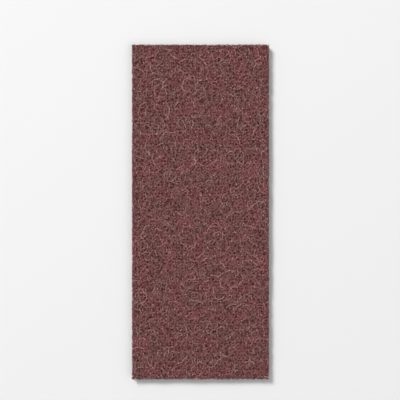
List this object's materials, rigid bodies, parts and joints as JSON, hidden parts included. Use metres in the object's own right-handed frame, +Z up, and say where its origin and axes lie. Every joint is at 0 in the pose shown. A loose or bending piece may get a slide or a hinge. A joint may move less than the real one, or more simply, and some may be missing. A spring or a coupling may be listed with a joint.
{
  "type": "non-woven finishing pad",
  "caption": "Flat rectangular hand pad of lofty non-woven nylon web, a tangle of curled fibres cut square, for light finishing and scuffing.",
  "frame": {"origin": "centre of the face that the pad rests on", "axes": "+X across the pad's width, +Y along its length, +Z up through its thickness"},
  "size_m": [0.1142, 0.2794, 0.0064],
  "materials": {
    "nylon_web": "matt maroon nylon fibres bound with resin and fine abrasive grain"
  },
  "bodies": {
    "root": {"fibre_web": "nylon_web"}
  },
  "joints": []
}
